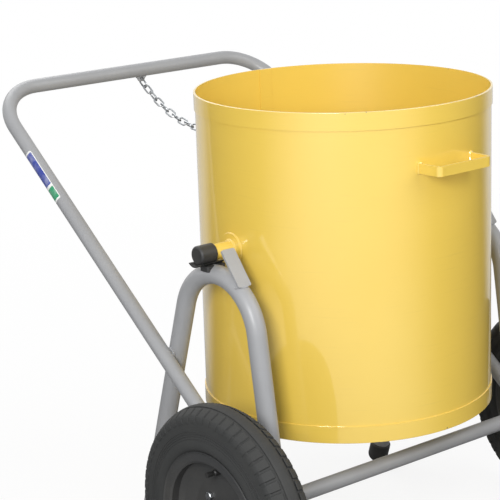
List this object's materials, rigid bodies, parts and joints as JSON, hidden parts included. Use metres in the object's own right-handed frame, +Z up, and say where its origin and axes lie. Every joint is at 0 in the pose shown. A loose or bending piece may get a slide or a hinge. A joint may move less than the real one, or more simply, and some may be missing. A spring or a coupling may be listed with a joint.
{
  "type": "tipping waste drum cart",
  "caption": "Round sheet steel waste drum that tips on side trunnions in a two wheeled tubular push cart with pneumatic tyres, parking legs and a safety chain.",
  "frame": {"origin": "on the ground under the middle of the whole cart", "axes": "+Z up, +Y towards the push handle, +X across the cart along the axle"},
  "size_m": [0.8734, 0.9366, 0.7933],
  "materials": {
    "yellow_enamel": "gloss",
    "grey_enamel": "satin",
    "black_enamel": "satin",
    "black_rubber": "satin",
    "tyre_rubber": "matte",
    "tube_rubber": "matte",
    "valve_rubber": "matte",
    "zinc_plated_steel": "satin",
    "bearing_steel": "satin"
  },
  "bodies": {
    "frame": {"push_handle": "grey_enamel", "left_hoop": "grey_enamel", "right_hoop": "grey_enamel", "left_foot_cap": "black_rubber", "right_foot_cap": "black_rubber", "left_stop_plate": "grey_enamel", "right_stop_plate": "grey_enamel", "left_saddle": "black_rubber", "right_saddle": "black_rubber", "axle_tube": "grey_enamel", "axle_rod": "zinc_plated_steel", "axle_washers": "zinc_plated_steel", "cotter_pins": "zinc_plated_steel", "chain_eye": "grey_enamel"},
    "drum": {"drum_shell": "yellow_enamel", "rim_band": "yellow_enamel", "base_band": "yellow_enamel", "base_plate": "yellow_enamel", "left_trunnion": "yellow_enamel", "right_trunnion": "yellow_enamel", "left_doubler": "yellow_enamel", "right_doubler": "yellow_enamel", "left_trunnion_cap": "black_rubber", "right_trunnion_cap": "black_rubber", "front_grab_handle": "yellow_enamel", "rear_grab_handle": "yellow_enamel"},
    "left_wheel": {"left_tyre": "tyre_rubber", "left_inner_tube": "tube_rubber", "left_outer_rim": "black_enamel", "left_inner_rim": "black_enamel", "left_hub": "black_enamel", "left_bearings": "bearing_steel", "left_rim_bolts": "zinc_plated_steel", "left_rim_nuts": "zinc_plated_steel", "left_valve": "valve_rubber"},
    "right_wheel": {"right_tyre": "tyre_rubber", "right_inner_tube": "tube_rubber", "right_outer_rim": "black_enamel", "right_inner_rim": "black_enamel", "right_hub": "black_enamel", "right_bearings": "bearing_steel", "right_rim_bolts": "zinc_plated_steel", "right_rim_nuts": "zinc_plated_steel", "right_valve": "valve_rubber"},
    "chain": {"chain_links": "zinc_plated_steel", "chain_hook": "zinc_plated_steel"}
  },
  "joints": [
    {"name": "drum_tilt", "type": "hinge", "parent": "frame", "child": "drum", "pos_m": [0.011, -0.13335, 0.56375], "axis": [1, 0, 0], "range_deg": [0, 115]},
    {"name": "left_wheel_spin", "type": "hinge", "parent": "frame", "child": "left_wheel", "pos_m": [0.37967, -0.28335, 0.185], "axis": [1, 0, 0], "continuous": true},
    {"name": "right_wheel_spin", "type": "hinge", "parent": "frame", "child": "right_wheel", "pos_m": [-0.37967, -0.28335, 0.185], "axis": [1, 0, 0], "continuous": true},
    {"name": "chain_swing", "type": "hinge", "parent": "frame", "child": "chain", "pos_m": [0.023, 0.45565, 0.73955], "axis": [1, 0, 0], "range_deg": [0, 74.75]}
  ],
  "couplings": [
    {"joint": "chain_swing", "follows": "drum_tilt", "ratio": 0.65}
  ]
}
